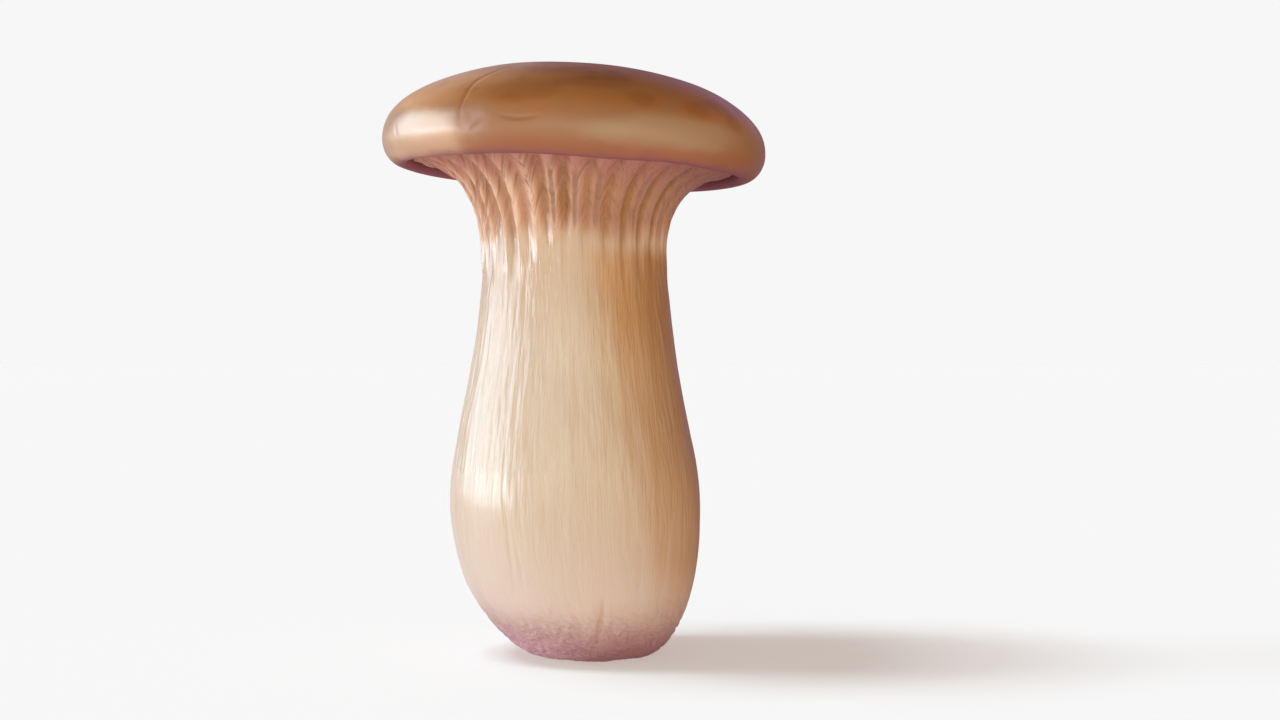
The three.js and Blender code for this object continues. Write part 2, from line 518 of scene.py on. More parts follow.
class Bench:
    """The node tree of a material or of the world, and what is needed to build it."""

    def __init__(self, owner: bpy.types.Material | bpy.types.World) -> None:
        """Empties the owner's tree.

        Args:
            owner: The material or the world, which is new.
        """
        owner.use_nodes = True
        self.owner = owner
        self.tree = owner.node_tree
        self.tree.nodes.clear()

    def node(
        self,
        kind: str,
        settings: dict[str, Any] | None = None,
        inputs: dict[str | int, Any] | None = None,
    ) -> bpy.types.Node:
        """Adds a node.

        Args:
            kind: The node's type.
            settings: Its own settings, which are set first.
            inputs: What goes into its sockets, by name or number: a value or a Signal.

        Returns:
            The node.
        """
        node = self.tree.nodes.new(kind)
        for name, value in (settings or {}).items():
            setattr(node, name, value)
        for name, value in (inputs or {}).items():
            socket = node.inputs[name]
            if isinstance(value, Signal):
                self.tree.links.new(value.socket, socket)
            elif isinstance(value, tuple) and socket.type == "RGBA":
                socket.default_value = (*value, 1.0)
            else:
                socket.default_value = value
        return node

    def add(
        self,
        kind: str,
        settings: dict[str, Any] | None = None,
        inputs: dict[str | int, Any] | None = None,
        output: str | int = 0,
    ) -> Signal:
        """Adds a node and reads one of its outputs.

        Args:
            kind: The node's type.
            settings: Its own settings, as in node().
            inputs: What goes into its sockets, as in node().
            output: The socket that the result is read from.

        Returns:
            The node's output.
        """
        return Signal(self, self.node(kind, settings, inputs).outputs[output])

    def attribute(self, name: str, vector: bool = False) -> Signal:
        """Reads an attribute of the piece's points."""
        settings = {"attribute_type": "GEOMETRY", "attribute_name": name}
        return self.add("ShaderNodeAttribute", settings, output="Vector" if vector else "Fac")

    def place(self) -> Signal:
        """Reads the place on the piece, in mm."""
        here = self.add("ShaderNodeTexCoord", output="Object")
        return self.scaled(here, (1 / MM, 1 / MM, 1 / MM))

    def scaled(self, vector: Signal, factors: Place) -> Signal:
        """Multiplies a vector by a factor for each axis."""
        inputs = {0: vector, 1: factors}
        return self.add("ShaderNodeVectorMath", {"operation": "MULTIPLY"}, inputs)

    def part_of(self, vector: Signal, axis: str) -> Signal:
        """Reads one axis of a vector."""
        return self.add("ShaderNodeSeparateXYZ", inputs={0: vector}, output=axis)

    def grain(
        self, where: Signal, size: Place, detail: float, warp: float = 0.0, seed: float = 0.0
    ) -> Signal:
        """Adds smooth noise.

        Args:
            where: The place that it is read at, in mm.
            size: How big its spots are along each axis, in mm.
            detail: How many finer layers it has.
            warp: How far it is stirred.
            seed: Which noise it is.

        Returns:
            The noise, about 0.5 at its middle.
        """
        spots = self.scaled(where, tuple(1 / width for width in size))
        inputs = {"Vector": spots, "W": seed, "Scale": 1.0, "Detail": detail, "Distortion": warp}
        return self.add("ShaderNodeTexNoise", {"noise_dimensions": "4D"}, inputs)

    def spot(self, where: Signal, centre: Place, size: Place) -> Signal:
        """Adds a round patch.

        Args:
            where: The place that it is read at, in mm.
            centre: Its middle, in mm.
            size: How far it reaches along each axis, in mm.

        Returns:
            A smooth fall from 1 at its middle to 0 past its reach.
        """
        offset = self.add("ShaderNodeVectorMath", {"operation": "SUBTRACT"}, {0: where, 1: centre})
        inputs = {0: self.scaled(offset, tuple(1 / reach for reach in size))}
        reach = self.add("ShaderNodeVectorMath", {"operation": "LENGTH"}, inputs, output="Value")
        return reach.rise(1.0, 0.0)

    def tinted(self, base: Signal | Colour, tints: Sequence[Tint]) -> Signal | Colour:
        """Lays tints over a base colour, one after another.

        Args:
            base: The base colour.
            tints: Each one's colour, and how much of it there is, from 0 to 1.

        Returns:
            The colour that comes of it.
        """
        settings = {"data_type": "RGBA", "clamp_factor": True}
        for colour, amount in tints:
            inputs = {0: amount, 6: base, 7: colour}
            base = self.add("ShaderNodeMix", settings, inputs, output=2)
        return base

    def bumped(self, layers: Sequence[tuple[Signal, float]]) -> Signal:
        """Turns heights into a normal, each laid over the one before.

        Args:
            layers: Each one's height, from 0 to 1, and what a height of 1 stands for, in mm.

        Returns:
            The normal.
        """
        under = {}
        for height, depth in layers:
            inputs = {"Height": height, "Distance": depth * MM, "Strength": 1.0, **under}
            under = {"Normal": self.add("ShaderNodeBump", inputs=inputs)}
        return under["Normal"]

    def finish(self, surface: dict[str, Any]) -> bpy.types.Material:
        """Adds a material's surface and its output.

        Args:
            surface: What goes into the surface shader's sockets.

        Returns:
            The finished material.
        """
        shader = self.add("ShaderNodeBsdfPrincipled", inputs=surface)
        self.node("ShaderNodeOutputMaterial", inputs={"Surface": shader})
        return self.owner

    def surround(self, seen: Colour, lit: Colour) -> None:
        """Adds the world's colours and its output.

        Args:
            seen: The colour that the camera sees behind everything.
            lit: The colour that everything is lit with.
        """
        rays = self.add("ShaderNodeLightPath", output="Is Camera Ray")
        shown = self.add("ShaderNodeBackground", inputs={"Color": seen})
        glow = self.add("ShaderNodeBackground", inputs={"Color": lit})
        sky = self.add("ShaderNodeMixShader", inputs={0: rays, 1: glow, 2: shown})
        self.node("ShaderNodeOutputWorld", inputs={"Surface": sky})


# ---------------------------------------------------------------- the stem


@dataclass(frozen=True)
class Ribs:
    """The gills: broad rounded ribs with narrow grooves between them, running out on the neck.

    Attributes:
        count: How many there are.
        turn: Where the first crest is, from -Y towards +X, in radians.
        sway: How far a rib strays from even spacing, as a share of the spacing.
        width: About how wide a rib is under the rim, in mm.
        depth: How deep the grooves are, in mm.
        unevenness: How much deeper or shallower single grooves are, as a share of the depth.
        sharpness: How narrow the grooves are.
        lopsided: How much narrower they are towards +X, and wider towards -X.
        low: Height where the grooves have run out, in mm.
        high: Height from which they are full depth, in mm.
        spread: How much further up or down single grooves run out, in mm.
        furrow: How deep the furrow along a split rib is, as a share of the grooves' depth.
        furrow_odds: What a rib's draw gets on top. The rib is split where that makes over 0.
        furrow_growth: How fast a furrow gets deeper as that rises.
        furrow_width: How wide a furrow is, as a share of the spacing.
        furrow_band: The heights that the furrows are at.
        slant: How much of the way down, and of the way aside, is the way across the barbs.
        variety: How much the barbs change on the way round the stem.
        depth_draw: Which draw sets how deep each groove is.
        sway_draw: Which draw sets where each rib strays.
        fade_draw: Which draw sets where each groove runs out.
        furrow_draw: Which draw sets which ribs are split.
    """

    count: int = 30
    turn: float = math.radians(3.5)
    sway: float = 0.05
    width: float = 5.5
    depth: float = 1.2
    unevenness: float = 0.25
    sharpness: float = 3.0
    lopsided: float = 2.2
    low: float = 76.0
    high: float = 88.0
    spread: float = 4.0
    furrow: float = 0.4
    furrow_odds: float = 0.15
    furrow_growth: float = 1.3
    furrow_width: float = 0.09
    furrow_band: Band = Band(84.0, 89.0, 95.0, 98.5)
    slant: Point = (0.45, 0.89)
    variety: float = 2.0
    depth_draw: int = 2
    sway_draw: int = 3
    fade_draw: int = 10553
    furrow_draw: int = 3249

    @property
    def deepest(self) -> float:
        """The deepest groove's depth, as a share of the grooves' depth."""
        return 1 + self.unevenness

    def position(self, angle: float) -> float:
        """Finds the rib position of an angle.

        Args:
            angle: The angle, from +X towards +Y, in radians.

        Returns:
            The position, which is a whole number on each rib's crest.
        """
        turn = (angle + math.pi / 2 - self.turn) / (2 * math.pi) % 1 * self.count
        nearest = round(turn)
        low = nearest if self._crest(nearest) <= turn else nearest - 1
        start, end = self._crest(low), self._crest(low + 1)
        return low + (turn - start) / (end - start)

    def _crest(self, rib: int) -> float:
        """Finds where a rib's crest is, in even spacings from the first."""
        return rib + self.sway * draw(rib % self.count, self.sway_draw)

    def groove(self, position: float, height: float) -> float:
        """Finds how deep a groove is at a place on the ribs.

        Args:
            position: The rib position.
            height: The height, in mm.

        Returns:
            The depth, as a share of the deepest groove's.
        """
        index = math.floor(position)
        number = index % self.count
        spread = self.spread * draw(number, self.fade_draw)
        fade = smoothstep(self.low + spread, self.high + spread, height)
        aside = math.sin(position / self.count * 2 * math.pi)
        across = math.sin(math.pi * (position - index)) ** (self.sharpness + self.lopsided * aside)
        return (1 + self.unevenness * draw(number, self.depth_draw)) / self.deepest * fade * across

    def split(self, position: float, height: float) -> float:
        """Finds how deep the furrow down the middle of a split rib is at a place.

        Args:
            position: The rib position.
            height: The height, in mm.

        Returns:
            The depth, as a share of the deepest furrow's.
        """
        rib = round(position)
        amount = max(0.0, draw(rib % self.count, self.furrow_draw) + self.furrow_odds)
        size = min(1.0, self.furrow_growth * amount)
        return size * self.furrow_band.share(height) * bell(position - rib, self.furrow_width)

    def barb(self, position: float, inward: float, around: Vector) -> Vector:
        """Finds the place on the ribs' feathering, whose barbs run together down each crest.

        Args:
            position: The rib position.
            inward: How far down from the gills' outer edge, in mm.
            around: The way round the stem, as a place on a circle.

        Returns:
            The place across the barbs, and two along them.
        """
        less, more = self.slant
        aside = abs(position - round(position)) * self.width
        across = less * inward + more * aside
        along = more * inward - less * aside
        return Vector((across, along + self.variety * around.x, self.variety * around.y))


@dataclass(frozen=True)
class Crease:
    """A fold or crease that runs along the stem's skin.

    Attributes:
        path: Its points, as degrees from -Y towards +X and mm along the skin from the foot.
        width: How wide it is, in mm.
        depth: How deep it is, in mm.
        reach: How far past its ends it is looked for, in mm.
    """

    path: tuple[Point, ...]
    width: float
    depth: float
    reach: float = 2.0

    def share(self, flow: Vector) -> float:
        """Finds how deep the crease is at a place.

        Args:
            flow: The place on the unrolled skin.

        Returns:
            The depth there, as a share of the crease's depth.
        """
        lengths = [along for _, along in self.path]
        if not min(lengths) - self.reach < flow.z < max(lengths) + self.reach:
            return 0.0
        place = Vector((math.atan2(flow.x, -flow.y) * FLOW_RADIUS, flow.z))
        path = [Vector((math.radians(turn) * FLOW_RADIUS, along)) for turn, along in self.path]
        distance, along = distance_to_path(place, path)
        return bell(distance, self.width / 2) * taper(along)


@dataclass
class Stem:
    """The stem, with the gills that flare out from it under the cap. Sizes are in mm.

    Attributes:
        stalk: Outline from the flat foot up to the neck, as radius and height.
        stalk_steps: How many rings each stretch of it has.
        flare: Outline from the neck to the gills' outer edge.
        flare_steps: How many rings each stretch of it has.
        plate: How far the flesh goes on up above the gills' outer edge.
        foot_shift: How far the foot grew to one side, along +X.
        foot_shift_height: Where the stem is back over the origin.
        belly_shift: How far the belly stands back, along +Y.
        columns: Points round each ring, before it is refined.
        ribs: The ribs of the gills.
        creases: The folds and creases of the skin.
        barb_depth: How deep the gills' feathering is.
        barb_band: The heights that it is at.
        barbs: Its noise, across the barbs and along them.
        barb_finer: How many times smaller its finer layer is.
        fibre_depth: How deep the lengthwise fibres are.
        fibre_band: The heights that they are strong at.
        fibre_least: How deep they are elsewhere, as a share of that depth.
        fibres: Their coarse and their fine noise.
        wrinkle_depth: How deep the foot's wrinkles are.
        wrinkle_band: The heights that they are at.
        wrinkle_size: How big they are along each axis of the unrolled skin.
        wrinkle_sway: How far they stray up and down, as a share of their size.
        wrinkle_finer: How many times smaller the finer ones are.
        sways: The noise that they stray by.
        patches: The noise that makes them deep in some places and shallow in others.
        lump_depth: How deep the soft hollows all over are.
        lump_size: How big those are.
        swelling: How far the skin stands out before its relief is pressed in.
    """

    stalk: tuple[Point, ...] = (
        (10.2, 0.0), (12.7, 0.5), (16.9, 3.7), (21.1, 10.0), (23.9, 17.5), (25.6, 28.0),
        (24.8, 39.5), (22.4, 51.5), (20.0, 65.0), (18.7, 77.0),
    )
    stalk_steps: tuple[int, ...] = (2, 4, 4, 3, 2, 2, 2, 2, 3)
    flare: tuple[Point, ...] = (
        (18.7, 77.0), (19.2, 85.5), (21.3, 92.0), (24.6, 96.3), (29.0, 98.7), (33.4, 99.7),
    )
    flare_steps: tuple[int, ...] = (5, 5, 4, 4, 4)
    plate: float = 1.6
    foot_shift: float = 3.5
    foot_shift_height: float = 34.0
    belly_shift: float = 0.8
    columns: int = 120
    ribs: Ribs = Ribs()
    creases: tuple[Crease, ...] = (
        Crease(((13.0, 21.0), (11.9, 17.6), (7.9, 10.8), (-0.7, 4.0)), 0.9, 0.45),
        Crease(((-31.2, 41.0), (-29.7, 35.0), (-29.7, 26.6), (-31.5, 20.5)), 0.8, 0.16),
        Crease(((-26.5, 33.0), (-25.0, 27.0), (-25.5, 22.0)), 0.7, 0.12),
        Crease(((-1.0, 40.0), (-4.0, 34.5), (-9.7, 30.6)), 1.2, 0.1),
        Crease(((148.0, 19.0), (152.0, 13.0), (150.0, 6.0)), 0.9, 0.35),
        Crease(((-120.0, 38.0), (-117.0, 29.0), (-119.0, 22.0)), 0.8, 0.16),
    )
    barb_depth: float = 0.4
    barb_band: Band = Band(84.0, 92.0, 99.0, 101.0)
    barbs: Ripple = Ripple((1.0, 6.0, 6.0))
    barb_finer: float = 2.1
    fibre_depth: float = 0.26
    fibre_band: Band = Band(12.0, 45.0, 88.0, 98.0)
    fibre_least: float = 0.15
    fibres: tuple[Ripple, Ripple] = (
        Ripple((1.2, 1.2, 9.0)),
        Ripple((0.6, 0.6, 6.0), (0.0, 0.0, 40.0)),
    )
    wrinkle_depth: float = 0.85
    wrinkle_band: Band = Band(-1.5, 3.0, 6.0, 16.0)
    wrinkle_size: Place = (3.4, 3.4, 1.9)
    wrinkle_sway: float = 1.8
    wrinkle_finer: float = 1.6
    sways: Ripple = Ripple((5.0, 5.0, 4.0), (0.0, 0.0, 7.0))
    patches: Ripple = Ripple((8.0, 8.0, 8.0), (3.0, 0.0, 0.0))
    lump_depth: float = 0.3
    lump_size: float = 13.0
    swelling: float = 0.4

    @property
    def neck(self) -> float:
        """The neck's height."""
        return self.stalk[-1][1]

    def ring(self, radius: float, height: float) -> Ring:
        """Places a ring: to the side at the foot, back at the belly, leaning under the cap.

        Args:
            radius: Its radius.
            height: Its height.

        Returns:
            The ring.
        """
        lean = smoothstep(self.neck, RIM_HEIGHT, height)
        side = self.foot_shift * max(0.0, 1 - height / self.foot_shift_height) ** 2
        back = self.belly_shift * math.sin(math.pi * min(1.0, height / self.neck)) ** 2
        tipped = CAP_SHIFT + (height - RIM_HEIGHT) * math.sin(CAP_TILT)
        middle = Vector((side + lean * tipped, back, height))
        return Ring(radius, height, middle, lean * CAP_TILT)

    def loft(self) -> tuple[bpy.types.Object, float]:
        """Grows the bare skin, from the foot up to the plate under the cap.

        Returns:
            The piece, and how far along its skin the gills' outer edge is, in mm.
        """
        foot_radius, foot = self.stalk[0]
        edge_radius, edge = self.flare[-1]
        stalk = curve_through(self.stalk, self.stalk_steps)
        flare = curve_through(self.flare, self.flare_steps)
        skin = Loft("mushroom_stem", self.columns, self.ring(foot_radius - INSET, foot))
        for radius, height in [*stalk[:-1], *flare]:
            skin.extend(self.ring(radius, height))
        edge_travel = skin.travelled
        skin.extend(self.ring(edge_radius, edge + self.plate))
        skin.extend(self.ring(edge_radius - INSET, edge + self.plate))
        piece = skin.close()
        squeeze(piece)
        refine(piece)
        return piece, edge_travel

    def carve(self, piece: bpy.types.Object, edge: float) -> None:
        """Presses the skin's whole relief into it, and keeps what its colours need of it.

        Args:
            piece: The bare skin.
            edge: How far along the skin the gills' outer edge is, in mm.
        """
        flow = read_vectors(piece, "flow")
        rise = read_numbers(piece, "rise")
        ribs = [self.ribs.position(math.atan2(place.y, place.x)) for place in flow]
        barbs = [self.ribs.barb(rib, edge - place.z, place) for rib, place in zip(ribs, flow)]
        grooves = [self.ribs.groove(rib, height) for rib, height in zip(ribs, rise)]
        splits = [self.ribs.split(rib, height) for rib, height in zip(ribs, rise)]
        folds = [sum(fold.depth * fold.share(place) for fold in self.creases) for place in flow]
        deepest = max(folds)
        marks = [max(split, fold / deepest) for split, fold in zip(splits, folds)]
        swell(piece, self.swelling)
        write_numbers(piece, "groove", grooves)
        write_numbers(piece, "mark", marks)
        write_vectors(piece, "barb", barbs)
        press(piece, list(map(self.hollow, grooves, splits, folds, flow)))
        press(piece, list(map(self.texture, barbs, flow, rise)))
        stand(piece)

    def hollow(self, groove: float, split: float, fold: float, flow: Vector) -> float:
        """Finds how deep the ribs, creases and soft hollows are together at a place.

        Args:
            groove: The groove's share of the deepest groove's depth there.
            split: The furrow's share of the deepest furrow's depth.
            fold: How deep the creases are.
            flow: The place on the unrolled skin.

        Returns:
            The depth, in mm.
        """
        gills = self.ribs.depth * (self.ribs.deepest * groove + self.ribs.furrow * split)
        return gills + fold + self.lump_depth * (0.5 + noise.noise(flow / self.lump_size))

    def texture(self, barb: Vector, flow: Vector, height: float) -> float:
        """Finds how deep the feathering, fibres and wrinkles are together, in mm."""
        return self.feather(barb, height) + self.fibre(flow, height) + self.wrinkle(flow, height)

    def feather(self, barb: Vector, height: float) -> float:
        """Finds how deep the gills' feathering is at a place.

        Args:
            barb: The place on the feathering.
            height: Its height.

        Returns:
            The depth, in mm.
        """
        spot = self.barbs.spot(barb)
        wave = 0.5 + 0.6 * noise.noise(spot) + 0.25 * noise.noise(spot * self.barb_finer)
        return self.barb_depth * wave * self.barb_band.share(height)

    def fibre(self, flow: Vector, height: float) -> float:
        """Finds how deep the lengthwise fibres are at a place.

        Args:
            flow: The place on the unrolled skin.
            height: Its height.

        Returns:
            The depth, in mm.
        """
        coarse, fine = [layer.at(flow) for layer in self.fibres]
        strength = self.fibre_least + (1 - self.fibre_least) * self.fibre_band.share(height)
        return self.fibre_depth * (0.5 + 0.5 * coarse + 0.25 * fine) * strength

    def wrinkle(self, flow: Vector, height: float) -> float:
        """Finds how deep the foot's crosswise wrinkles are at a place.

        Args:
            flow: The place on the unrolled skin.
            height: Its height.

        Returns:
            The depth, in mm.
        """
        if height > self.wrinkle_band.high:
            return 0.0
        strayed = (0.0, 0.0, self.wrinkle_sway * self.sways.at(flow))
        spot = Ripple(self.wrinkle_size, strayed).spot(flow)
        crease = ridge(noise.noise(spot), 3.2)
        finer = ridge(noise.noise(spot * self.wrinkle_finer), 3.0)
        patch = 0.65 + 0.5 * self.patches.at(flow)
        band = self.wrinkle_band.share(height)
        return self.wrinkle_depth * (0.6 * crease + 0.4 * finer) * patch * band

    def build(self, flesh: "StemFlesh") -> None:
        """Makes the finished stem.

        Args:
            flesh: What it is dressed in.
        """
        piece, edge = self.loft()
        self.carve(piece, edge)
        hand_over(piece, Part.STEM, flesh.mix())


class StemMaps:
    """What varies over the stem. Its colours, sheen and fine relief are mixed from it."""

    def __init__(self, bench: Bench) -> None:
        """Reads the stem's attributes and adds its noises.

        Args:
            bench: The material's bench.
        """
        flow = bench.attribute("flow", vector=True)
        barb = bench.attribute("barb", vector=True)
        self.across = bench.part_of(flow, "X")
        self.rise = bench.attribute("rise")
        self.groove = bench.attribute("groove")
        self.mark = bench.attribute("mark").rise(0.1, 0.9)
        self.fibre = bench.grain(flow, (0.8, 0.8, 14.0), detail=3.0)
        self.hair = bench.grain(flow, (0.3, 0.3, 5.0), detail=2.0, seed=3.0)
        self.streak = bench.grain(flow, (2.4, 2.4, 24.0), detail=3.0, seed=8.0)
        self.strand = bench.grain(flow, (0.7, 0.7, 6.0), detail=2.0, seed=12.0)
        self.crumple = bench.grain(flow, (1.6, 1.6, 0.7), detail=3.0, warp=0.8, seed=9.0)
        self.cloud = bench.grain(bench.place(), (15.0, 15.0, 20.0), detail=3.0, seed=5.0)
        self.feather = bench.grain(barb, (0.7, 6.0, 6.0), detail=3.0, seed=2.0)
        self.hatch = bench.grain(barb, (0.35, 2.6, 2.6), detail=1.0, seed=6.0)
        self.uneven = self.rise + (self.cloud - 0.5) * 12
        self.ragged = self.rise + (self.streak - 0.5) * 5
        self.feathered = self.ragged.rise(83, 91)


@dataclass(frozen=True)
class StemFlesh:
    """The pale flesh: cream with fine lengthwise fibres, pinkish at the gills and the foot.
    Painted shade darkens it towards +X, under the cap and in creases; painted light brightens the
    crests and the foot's bottom towards -X.

    Attributes:
        low: The colour of the stalk low down.
        cream: The colour of the stalk further up.
        neck: The colour of the neck and of single fibres.
        amber: The colour of the painted shade on the stalk towards +X, of streaks, and of the
            painted shade in creases and furrows.
        umber: The colour of the painted shade furthest towards +X on the stalk.
        gill: The colour of the gills.
        russet_shade: The colour of the painted shade on the gills towards +X, darker and warmer.
        crest: The colour of the painted light on the crests towards -X.
        mauve: The colour of the crests towards +X and of the fine hatching, and of the painted
            shade in the furrows and creases high up.
        ochre: The colour of the grooves and of the feathering.
        rim: The colour of the gills at their outer edge.
        under_cap_shade: The colour of the painted shade on the gills deep under the cap towards
            +X.
        foot: The colour of the foot: its own pinkish mauve, deepened as painted mauve light from
            below.
        plum_shade: The colour of the painted shade on the foot's bottom towards +X, and in its
            wrinkles.
        lilac_light: The colour of the painted light on the foot's bottom towards -X.
    """

    low: Colour = paint(226, 198, 180)
    cream: Colour = paint(228, 202, 174)
    neck: Colour = paint(214, 180, 148)
    amber: Colour = paint(204, 150, 98)
    umber: Colour = paint(166, 108, 62)
    gill: Colour = paint(224, 166, 134)
    russet_shade: Colour = paint(182, 124, 80)
    crest: Colour = paint(252, 218, 186)
    mauve: Colour = paint(128, 76, 82)
    ochre: Colour = paint(160, 104, 50)
    rim: Colour = paint(196, 122, 112)
    under_cap_shade: Colour = paint(112, 60, 50)
    foot: Colour = paint(196, 140, 142)
    plum_shade: Colour = paint(152, 88, 104)
    lilac_light: Colour = paint(236, 186, 196)

    def stalk_tints(self, maps: StemMaps) -> list[Tint]:
        """Lists the tints of the stalk, with its painted shade towards +X.

        Args:
            maps: What varies over the stem.

        Returns:
            The tints, the lowest first.
        """
        rise, streak, fibre = maps.rise, maps.streak, maps.fibre
        beside = maps.across + rise * 0.13 + (streak - 0.5) * 7 + (fibre - 0.5) * 5
        # side masks the painted shade on the stalk towards +X
        side = beside.rise(10.5, 20.0) * maps.ragged.rise(85.0, 79.0) * rise.rise(3, 22)
        return [
            (self.cream, maps.uneven.rise(10, 36)),
            (self.neck, maps.uneven.rise(58, 82)),
            # painted shade: amber towards +X, deeper near the neck, then umber at the far side
            (self.amber, side * (0.82 + rise.rise(56, 70) * 0.18)),
            (self.umber, side * beside.rise(19, 27) * 0.6),
            (self.amber, streak.rise(0.5, 0.78) * rise.rise(14, 40) * 0.25),
            (self.neck, fibre.rise(0.46, 0.72) * rise.rise(10, 40) * 0.25),
        ]

    def gill_tints(self, maps: StemMaps) -> list[Tint]:
        """Lists the tints of the gills, with their painted light and shade, and the painted shade
        in the creases.

        Args:
            maps: What varies over the stem.

        Returns:
            The tints, the lowest first.
        """
        rise, feather, feathered = maps.rise, maps.feather, maps.feathered
        right = maps.across.rise(-9, 7)
        gilled = maps.ragged.rise(82.0, 89.2)
        crest = maps.groove.rise(0.45, 0.05) * rise.rise(80, 88)
        valley = maps.groove.rise(0.15, 0.85) * rise.rise(78, 86)
        return [
            (self.gill, gilled),
            # painted shade: the gills darker and warmer towards +X
            (self.russet_shade, gilled * right * 0.58),
            # painted light: the crests paler towards -X
            (self.crest, crest * (1 - right) * 0.5),
            (self.mauve, crest * right * gilled * 0.22),
            (self.ochre, valley * (0.48 + right * 0.3)),
            (self.rim, (rise + (feather - 0.5) * 6).rise(93.5, 99) * 0.75),
            # painted shade deep under the cap towards +X
            (self.under_cap_shade, maps.across.rise(6, 34) * rise.rise(88, 100) * 0.85),
            (self.ochre, feathered * feather.rise(0.5, 0.66) * (0.6 - right * 0.3)),
            (self.mauve, feathered * maps.hatch.rise(0.62, 0.7) * 0.5),
            # painted shade in the creases and furrows: mauve high up, amber everywhere
            (self.mauve, maps.mark * rise.rise(70, 86) * 0.55),
            (self.amber, maps.mark * 0.35),
        ]

    def foot_tints(self, maps: StemMaps) -> list[Tint]:
        """Lists the tints of the foot, with its painted light and shade.

        Args:
            maps: What varies over the stem.

        Returns:
            The tints, the lowest first.
        """
        rise, cloud, across = maps.rise, maps.cloud, maps.across
        sole = (rise + (cloud - 0.5) * 5).rise(8, -1)
        pleat = maps.crumple.away(0.5).rise(0.05, 0.0) * rise.rise(12, 5)
        return [
            # the foot's own mauve, deepened as painted mauve light from below
            (self.foot, (rise + (cloud - 0.5) * 9).rise(14, 0.5) * 0.85),
            # painted shade: the foot's bottom darker towards +X
            (self.plum_shade, sole * across.rise(-14, 4) * 0.6),
            # painted light: the foot's bottom paler towards -X
            (self.lilac_light, sole * across.rise(4, -14) * 0.75),
            # painted shade in the foot's wrinkles
            (self.plum_shade, pleat * 0.22),
        ]

    def mix(self) -> bpy.types.Material:
        """Builds the material.

        Returns:
            The material.
        """
        bench = Bench(bpy.data.materials.new("stem_flesh"))
        maps = StemMaps(bench)
        tints = [*self.stalk_tints(maps), *self.gill_tints(maps), *self.foot_tints(maps)]
        crack = maps.fibre.away(0.5).rise(0.0, 0.045) * 0.55 + maps.hair * 0.45
        relief = [
            (maps.strand * maps.rise.rise(14, 34), 0.3),
            (crack, 0.04),
            (maps.feather * maps.feathered, 0.45),
            (maps.crumple * maps.rise.rise(13, 5), 0.7),
        ]
        wet = maps.across.rise(4, -6)
        rough = 0.32 - wet * 0.18 + maps.hair * 0.08 + maps.feathered * 0.2
        return bench.finish(
            {
                "Base Color": bench.tinted(self.low, tints),
                "Roughness": rough + maps.uneven.rise(50, 18) * 0.3,
                "Normal": bench.bumped(relief),
                "Subsurface Weight": 0.12,
                "Subsurface Radius": (1.0, 0.45, 0.25),
                "Subsurface Scale": 1.5 * MM,
                "Coat Weight": 0.1 + wet * 0.3,
                "Coat Roughness": 0.12,
            }
        )


# ---------------------------------------------------------------- the cap


@dataclass(frozen=True)
class CapCrease:
    """A crease in the cap's skin, or a low fold where its depth is less than nothing.

    Attributes:
        path: Its points, in the upright cap's own frame, in mm.
        width: How wide it is, in mm.
        depth: How deep it is, in mm.
        reach: How far past its ends it is looked for, in mm.
    """

    path: tuple[Place, ...]
    width: float
    depth: float
    reach: float = 4.0

    def lay_on(self, piece: bpy.types.Object) -> list[Vector]:
        """Finds the crease's path on a piece's skin, in mm."""
        path = curve_through(self.path, [CURVE_STEPS] * (len(self.path) - 1))
        return [piece.closest_point_on_mesh(Vector(point) * MM)[1] / MM for point in path]

    def share(self, place: Vector, path: Sequence[Vector]) -> float:
        """Finds how deep the crease is at a place.

        Args:
            place: The place on the skin, in mm.
            path: The crease's path on the skin.

        Returns:
            The depth there, as a share of the crease's depth.
        """
        half = (path[-1] - path[0]).length / 2
        if (place - (path[0] + path[-1]) / 2).length > half + self.reach:
            return 0.0
        distance, along = distance_to_path(place, path)
        return bell(distance, self.width / 2) * taper(along)


